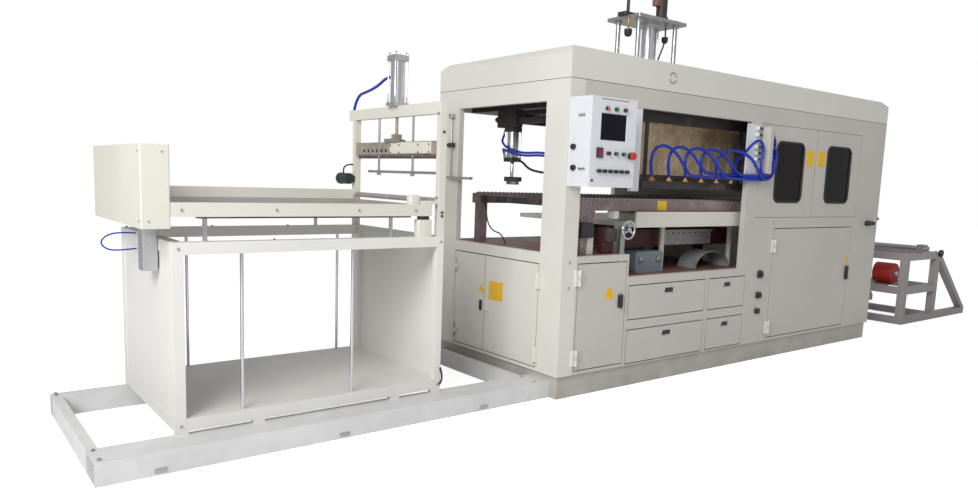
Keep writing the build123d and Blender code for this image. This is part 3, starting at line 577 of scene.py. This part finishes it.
# Manifold: a square bar on two straps with six brass fittings, in place of the CAD bar
manifold = {"fittings": [(hoses["fittingX"] + k * hoses["fittingPitch"], 125, 1374) for k in range(6)]}
manifoldPieces = [
    plates("manifoldBar", [(1402, 125, 1322)], "up", (1206, 50), "dark", 52, 4),
    plates("manifoldStraps", [(875, 150, 1545), (1955, 150, 1545)], "rear", (30, 450), "dark", 10, 2),
    bolts("fittingHexes", manifold["fittings"], "up", 36, "brass", height=16),
    discs("fittingNecks", [(x, y, z + 15) for x, y, z in manifold["fittings"]], "up", 22, 11, "brass", 3),
]
for piece in manifoldPieces:
    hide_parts("air_manifold")
discs("fittingCaps", [(x + 34, 125, 1374) for x, _, _ in manifold["fittings"]], "up", 16, 14, "black", 4)

# Narrow panel's black connectors and the clamps at the right end
for index, z in enumerate((687, 523, 398)):
    plates(f"panelSocket{index + 1}", [(2105, 0, z)], "front", (50, 58 - 8 * index), "black", 22, 5, corner=8.0)
discs("panelPlugs", [(2105, -22, z) for z in (687, 523)], "front", 30, 12, "black", 4)
plates("doorClamps", [(3757, 0, 1068)], "front", (96, 44), "black", 34, 10, corner=16.0)
discs("clampKnobs", [(3722, -34, 1068), (3792, -30, 1068)], "front", 34, 22, "black", 8)
plates("endClamp", [(3940, 40, 1104)], "right", (60, 30), "black", 66, 8, corner=12.0)

# Bolts and screws on frames and doors
bolts("portalBolts", [(-745, 262, z) for z in (1180, 1232, 1700)], "end", 17)
bolts("portalFaceBolts", [(-725, 243, z) for z in (1130, 1150, 1600)], "front", 15, "dark")
bolts("beamBolts", [(x, 243, 1162) for x in (-2150, -1700, -1250, -900)], "front", 13)
bolts("railBolts", [(x, y, 107) for x in (-2541, -82) for y in (110, 240, 1225, 1255)], "up", 18)
bolts("tableBolts", [(x, y, 1014) for x in (-2170, -1700, -1230, -760) for y in (272, 1212)], "up", 14)
bolts("postBolts", [(x, 243, z) for x in (-2167, -725) for z in (150, 985)], "front", 13)
bolts("plateBolts", [(sx, sy, 2574) for sx in (1170, 1666) for sy in (545, 680, 815)], "up", 20)
bolts("sidePlateBolts", [(x, 112, z) for x in (255, 355) for z in (1110, 1150, 1215)], "front", 14)
bolts("coverPlateBolts", [(-746, y, z) for y in (356, 470, 684, 786) for z in (1488, 1532)], "end", 13, body="cutter")
bolts("capBolts", [(-725 + dx, 752.5 + dy, 2075) for dx in (-37, 37) for dy in (-37, 37)], "up", 14)
bolts("standBolts", [(4991 + dx, y, 730) for dx in (0, 714) for y in (163, 1195)], "up", 22)
discs("coverScrews", [(-2321, y, z) for y in (275, 1205) for z in (1110, 1418)], "end", 12, 3, "chrome", 1.2)
discs("coverFaceScrews", [(-2290, 243, 1110), (-2228, 243, 1418)], "front", 10, 3, "chrome", 1.2)
discs("panelScrews", [(x, 0, z) for x in (1955, 2235) for z in (190, 640, 1080)], "front", 12, 3, "steel", 1.2)
discs("cabinetStuds", [(60, 0, z) for z in (700, 860)], "front", 22, 5, "chrome", 2)
print("fittings ready")

# Small pieces on the frames
plates("railFeet", [(x, 82, 22) for x in (-2300, -1400, -500)], "front", (56, 20), "steel", 4, 1.5)
plates("beamEndBlock", [(-901, 268, 1195)], "up", (66, 50), "cover", 50, 6)
plates("portalArm", [(-806, 268, 1195)], "up", (124, 40), "cover", 20, 3)
plates("beamFoot", [(-833, 268, 1014)], "up", (92, 50), "cover", 96, 4)
plates("beamPads", [(-833, 268, 1110)], "up", (60, 44), "black", 20, 3)
plates("darkGuide", [(-1500, 268, 1130)], "down", (1150, 46), "dark", 8, 2)
pipes("tableHook", bow([(-708, 243, 250), (-702, 236, 225), (-690, 232, 190), (-704, 232, 155),
                        (-712, 243, 150)]), 6, "black", side=(0, 1, 0.2))

# Chain in the rails: side plates and rollers of one fixed loop's upper run, in pairs
chain = {"pitch": 38.0, "x0": 260.0, "x1": 3840.0, "y": (150.0, 1210.0), "z": 1240.0}
linkX = np.arange(chain["x0"], chain["x1"], chain["pitch"])
link = rise(plateProfile(9.0, 1.5), 34, 11, 5.0, 12)
pin = rise(knobProfile(13.0, 1.2), 11, 11, 5.5, 8)
for side, y in enumerate(chain["y"]):
    places = np.stack((linkX, y + 0 * linkX, chain["z"] + 0 * linkX), -1)
    addPiece(f"chainLinks{side + 1}", setAt(link, places, "up"), "steel")
    addPiece(f"chainPins{side + 1}", setAt(pin, places + (chain["pitch"] / 2, 0, 0), "up"), "dark")

# Cutter: teeth along the blade's edge, cover plate, guides, port and motor parts
cutter = {"teeth": np.arange(300, 1222, 20.0)}
triangles("bladeTeeth", [(-728, y, 1459) for y in cutter["teeth"]], "end", 22, "dark", 0.6, body="cutter")
triangles("bladeTeethBack", [(-722, y, 1459) for y in cutter["teeth"]], "right", 22, "dark", 0.6, body="cutter")
plates("bladeCover", [(-742, 571, 1514)], "end", (458, 66), "cover", 4, 1.5, body="cutter")
discs("bladeHoles", [(-742, y, 1500) for y in np.arange(850, 1180, 55)], "end", 20, 3, "dark", 1, body="cutter")
plates("crossheadWings", [(-751, 780, 1560)], "end", (150, 24), "steel", 4, 2, body="cutter")
discs("guideCollars", [(-725, y, 1362) for y in (563, 963)], "down", 26, 14, "steel", 3)
discs("cylinderPort", [(-725, 794, 1945)], "rear", 20, 24.5, "brass", 3)
discs("cylinderTies", [(-725 + dx, 752.5 + dy, 1784) for dx in (-41, 41) for dy in (-41, 41)], "up", 10, 292,
      "chrome", 2, count=12)
discs("motorCap", [(-787, 1346, 1318)], "rear", 77, 26, "black", 4)

# Tower: nuts, flanges, tie rods, cross bar with its cylinder and spindle, silencer and cable
tower = {"columns": [(x, y) for x in (1210.5, 1625.5) for y in (582, 782)]}
discs("towerNutsLow", [(x, y, 2150) for x, y in tower["columns"]], "up", 54, 16, "steel", 4)
discs("towerNutsHigh", [(x, y, 2550) for x, y in tower["columns"]], "down", 54, 16, "steel", 4)
bolts("towerNutsTop", [(x, y, 2574) for x, y in tower["columns"]], "up", 46, height=18)
plates("towerFlangeLow", [(1438, 682, 2150)], "up", (124, 124), "alu", 22, 3)
plates("towerFlangeHigh", [(1438, 682, 2550)], "down", (124, 124), "alu", 22, 3)
discs("towerTies", [(1438 + dx, 682 + dy, 2165) for dx in (-50, 50) for dy in (-50, 50)], "up", 12, 375, "chrome",
      1, count=12)
headPieces = [
    plates("towerBar", [(1373, 682, 2574)], "up", (493, 84), "dark", 28, 5),
    discs("towerHeadCylinder", [(1575, 682, 2601)], "up", 84, 200, "dark", 6),
    discs("towerHeadCap", [(1575, 682, 2800)], "up", 50, 32, "black", 8),
    discs("towerSpindle", [(1197, 682, 2601)], "up", 24, 190, "dark", 3),
    discs("towerSpindleKnob", [(1197, 682, 2778)], "up", 42, 26, "black", 8),
]
for piece in headPieces:
    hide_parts("tower_head")
discs("headCollars", [(1575, 682, z) for z in (2602, 2770)], "up", 102, 24, "dark", 4)
plates("headValve", [(1512, 682, 2700)], "up", (60, 44), "tape", 56, 4)
discs("silencer", [(1165, 640, 2476)], "down", 58, 56, "black", 24)
discs("silencerPipe", [(1165, 640, 2550)], "down", 14, 80, "brass", 1)
towerCable = {
    "diameter": 0.012, "joint": (1671, 714, 2493),
    "points": ((1674, 715, 2550), (1676, 715, 2515), (1674, 714, 2478), (1656, 710, 2425), (1622, 705, 2370),
               (1590, 701, 2312), (1570, 700, 2245), (1560, 700, 2190), (1560, 700, 2150)),
}
cableJoint = discs("towerCableJoint", [towerCable["joint"]], "down", 50, 50, "black", 22)
layCord("towerCable", towerCable["points"], towerCable["diameter"], "blackCable")

# Transfer unit behind the end window: beam, clamp block, arm, cylinder with caps, rod and foot
unit = {"x": 300, "y": 873}
plates("unitBeam", [(300, 680, 1830)], "up", (76, 1278), "dark", 40, 3)
plates("unitBlock", [(300, 916, 1830)], "down", (76, 205), "dark", 118, 6)
plates("unitArm", [(300, 685, 1775)], "down", (40, 270), "dark", 40, 4)
plates("unitCaps", [(unit["x"], unit["y"], z) for z in (1472, 1682)], "up", (92, 92), "dark", 30, 4)
discs("unitBarrel", [(unit["x"], unit["y"], 1500)], "up", 80, 186, "alu", 2)
discs("unitTies", [(300 + dx, 873 + dy, 1480) for dx in (-38, 38) for dy in (-38, 38)], "up", 9, 225, "chrome", 1,
      count=12)
discs("unitRod", [(unit["x"], unit["y"], 1360)], "up", 24, 114, "chrome", 1)
plates("unitFoot", [(300, 860, 1335)], "up", (60, 134), "dark", 32, 4)
plates("gripperJaw", [(300, 860, 1335)], "down", (50, 90), "steel", 22, 4)
discs("unitKnob", [(300, 1018, 1770)], "rear", 40, 50, "black", 10)

# Two air hoses and a cable leave the front wall for the unit, and each ends in a brass fitting on a cap
unitCords = {
    "unitHoseHigh": {
        "look": "blueHose", "fitting": ((300, 915, 1697), (300, 960, 1699), (300, 968, 1692), (300, 966, 1670)),
        "points": ((86, 40, 1490), (92, 100, 1496), (110, 179, 1504), (146, 290, 1515), (178, 387, 1524),
                   (196, 486, 1531), (208, 579, 1529), (217, 673, 1531), (224, 756, 1544), (228, 828, 1562),
                   (236, 887, 1584), (262, 948, 1610), (292, 978, 1640), (300, 966, 1676))},
    "unitHoseLow": {
        "look": "blueHose", "fitting": ((300, 915, 1490), (300, 952, 1488), (300, 960, 1496), (300, 958, 1520)),
        "points": ((86, 40, 1468), (92, 100, 1474), (110, 179, 1483), (146, 290, 1495), (178, 386, 1507),
                   (196, 484, 1513), (208, 578, 1511), (217, 672, 1513), (222, 752, 1525), (224, 820, 1540),
                   (230, 876, 1552), (254, 928, 1562), (288, 962, 1550), (300, 958, 1512))},
    "unitCable": {
        "look": "blackCable", "fitting": ((300, 832, 1487), (300, 815, 1486), (299.5, 800, 1484)),
        "points": ((76, 40, 1380), (82, 110, 1380), (160, 167, 1384), (230, 287, 1392), (270, 427, 1398),
                   (286, 567, 1404), (292, 687, 1424), (298, 767, 1480), (300, 827, 1487))},
}
for name, cord in unitCords.items():
    fitting = pipes(name + "Fitting", bow(cord["fitting"], 10), 11, "brass", side=(1, 0, 0))
    layCord(name, cord["points"], 0.016, cord["look"])
plates("railTie", [(295, 680, 1182)], "up", (70, 1000), "dark", 44, 3)
plates("railSidePlate", [(305, 120, 1166)], "front", (144, 148), "rails", 8, 1.5)

# Guard post in the opening and the sensor rod beside the end window
plates("guardPost", [(615, 36, 1565)], "front", (75, 530), "console", 32, 4)
plates("sensorFoot", [(-18, 1070, 1337)], "up", (36, 278), "steel", 18, 2)
discs("sensorRod", [(-18, 1176, 1354)], "up", 12, 440, "steel", 2)
plates("sensorBracket", [(-18, 1176, 1764)], "up", (34, 36), "steel", 30, 2)
discs("sensorKnob", [(-18, 1206, 1577)], "rear", 26, 20, "black", 6)
plates("sensorClamp", [(-18, 1176, 1562)], "up", (30, 60), "dark", 30, 4)

# Brake drum of the unwinder on its seat
plates("drumSeat", [(5096, 414, 380)], "up", (270, 170), "stand", 10, 2)
discs("brakeDrum", [(5150, 508, 500)], "front", 220, 189, "red", 10, count=48)
discs("drumHub", [(5150, 534, 500)], "front", 56, 240, "steel", 6)
discs("spoolEnd", [(5713, 128, 717)], "front", 76, 30, "black", 6)

# Parts of the forming station that show in the opening
plates("beamRibs", [(x, 170, 1805) for x in np.arange(1000, 2200, 160.0)], "rear", (14, 56), "steel", 60, 3)
plates("cornerBracket", [(345, 120, 981)], "front", (54, 186), "table", 8, 2)
plates("darkBox", [(280, 120, 1045)], "front", (110, 96), "dark", 46, 6)
plates("redColumn", [(505, 150, 975)], "front", (100, 174), "mouldRed", 40, 6)
plates("smallBox", [(504, 110, 1012)], "front", (90, 88), "dark", 40, 6)
plates("whiteBlock", [(554, 150, 1142)], "front", (50, 52), "table", 60, 5)
discs("wheelCap", [(621, 28, 1047)], "front", 22, 6, "chrome", 3, body="handwheel")
plates("mouldLip", [(1640, 340, 1005)], "front", (590, 22), "mouldGrey", 10, 2)
plates("mouldFace", [(1642, 340, 950)], "front", (560, 96), "mouldGrey", 4, 2)
bolts("mouldBolts", [(x, 336, 990) for x in np.arange(1390, 1920, 66.0)], "front", 12, "dark")
discs("gearCaps", [(1000, 250, 815), (1190, 250, 815)], "front", 44, 12, "steel", 4)
plates("heaterStrips", [(x, 410, 1580) for x in np.arange(1020, 2200, 130.0)], "front", (10, 280), "tan", 5, 2)


# Arched duct: an outer and an inner half ellipse make one closed section, drawn along the depth
duct = {"x": 1850.0, "z": 723.0, "half": 210.0, "height": 130.0, "skin": 8.0, "y": (250.0, 420.0)}


def makeDuct(d):
    u = np.linspace(0, np.pi, 28)
    outer = np.stack((d["half"] * np.cos(u), d["height"] * np.sin(u)), -1)
    inner = np.stack(((d["half"] - d["skin"]) * np.cos(u), (d["height"] - d["skin"]) * np.sin(u)), -1)
    middle = (outer + inner) / 2
    section = np.concatenate((outer, inner[::-1]))
    closed = np.concatenate((middle, middle[::-1]))
    y = np.array((d["y"][0], d["y"][0], d["y"][1], d["y"][1]))
    loops = np.stack((closed, section, section, closed))
    shell = np.stack((d["x"] + loops[..., 0], y[:, None] + 0 * loops[..., 0], d["z"] + loops[..., 1]), -1)
    addPiece("archedDuct", ((shell + (cornerX, cornerY, 0.0)) / 1000.0)[None], "mouldGrey")


makeDuct(duct)
print("inside ready")

studio = {
    "worldLight": 0.46,
    "keyPower": 520.0,
    "fillPower": 14.0,
    "floorColour": (0.86, 0.86, 0.86, 1.0),
    "floorReach": 30.0,
}


def makeWorld(s):
    world = bpy.data.worlds.new("studioWorld")
    bpy.context.scene.world = world
    world.use_nodes = True
    n, l = world.node_tree.nodes, world.node_tree.links
    n.clear()
    out = n.new("ShaderNodeOutputWorld")
    mix = n.new("ShaderNodeMixShader")
    lightSky = n.new("ShaderNodeBackground")
    seenSky = n.new("ShaderNodeBackground")
    lightSky.inputs["Color"].default_value = (1, 1, 1, 1)
    lightSky.inputs["Strength"].default_value = s["worldLight"]
    seenSky.inputs["Color"].default_value = (1, 1, 1, 1)
    seenSky.inputs["Strength"].default_value = 1.0
    path = n.new("ShaderNodeLightPath")
    orThrough = n.new("ShaderNodeMath")
    orThrough.operation = "MAXIMUM"
    l.new(path.outputs["Is Camera Ray"], orThrough.inputs[0])
    l.new(path.outputs["Is Transmission Ray"], orThrough.inputs[1])
    l.new(orThrough.outputs[0], mix.inputs[0])
    l.new(lightSky.outputs[0], mix.inputs[1])
    l.new(seenSky.outputs[0], mix.inputs[2])
    l.new(mix.outputs[0], out.inputs[0])


def areaLamp(name, place, target, size, power):
    data = bpy.data.lights.new(name, "AREA")
    data.shape = "RECTANGLE"
    data.size, data.size_y = size
    data.energy = power
    obj = bpy.data.objects.new(name, data)
    obj.location = place
    obj.rotation_mode = "QUATERNION"
    obj.rotation_quaternion = (Vector(target) - Vector(place)).to_track_quat("-Z", "Y")
    bpy.context.scene.collection.objects.link(obj)


def makeFloor(s):
    r = s["floorReach"]
    mesh = bpy.data.meshes.new("studioFloor")
    mesh.from_pydata([(-r, -r, -0.001), (r, -r, -0.001), (r, r, -0.001), (-r, r, -0.001)], [], [(0, 1, 2, 3)])
    obj = bpy.data.objects.new("studioFloor", mesh)
    bpy.context.scene.collection.objects.link(obj)
    held = bpy.data.materials.new("studioFloor")
    held.use_nodes = True
    n, l = held.node_tree.nodes, held.node_tree.links
    n.clear()
    out = n.new("ShaderNodeOutputMaterial")
    diffuse = n.new("ShaderNodeBsdfDiffuse")
    diffuse.inputs["Color"].default_value = s["floorColour"]
    glow = n.new("ShaderNodeEmission")
    glow.inputs["Color"].default_value = (1, 1, 1, 1)
    path = n.new("ShaderNodeLightPath")
    scale = n.new("ShaderNodeMath")
    scale.operation = "MULTIPLY"
    scale.inputs[1].default_value = 0.66
    l.new(path.outputs["Is Camera Ray"], scale.inputs[0])
    l.new(scale.outputs[0], glow.inputs["Strength"])
    add = n.new("ShaderNodeAddShader")
    l.new(diffuse.outputs[0], add.inputs[0])
    l.new(glow.outputs[0], add.inputs[1])
    l.new(add.outputs[0], out.inputs[0])
    mesh.materials.append(held)


makeWorld(studio)
makeFloor(studio)
areaLamp("keyLamp", (-8.6, -3.4, 5.0), (0.0, 0.6, 1.0), (4.0, 4.0), studio["keyPower"])
areaLamp("fillLamp", (2.0, -8.0, 4.0), (1.0, 0.5, 1.0), (5.0, 3.0), studio["fillPower"])
view = bpy.context.scene.view_settings
view.view_transform = "Standard"
print("camera and studio ready")
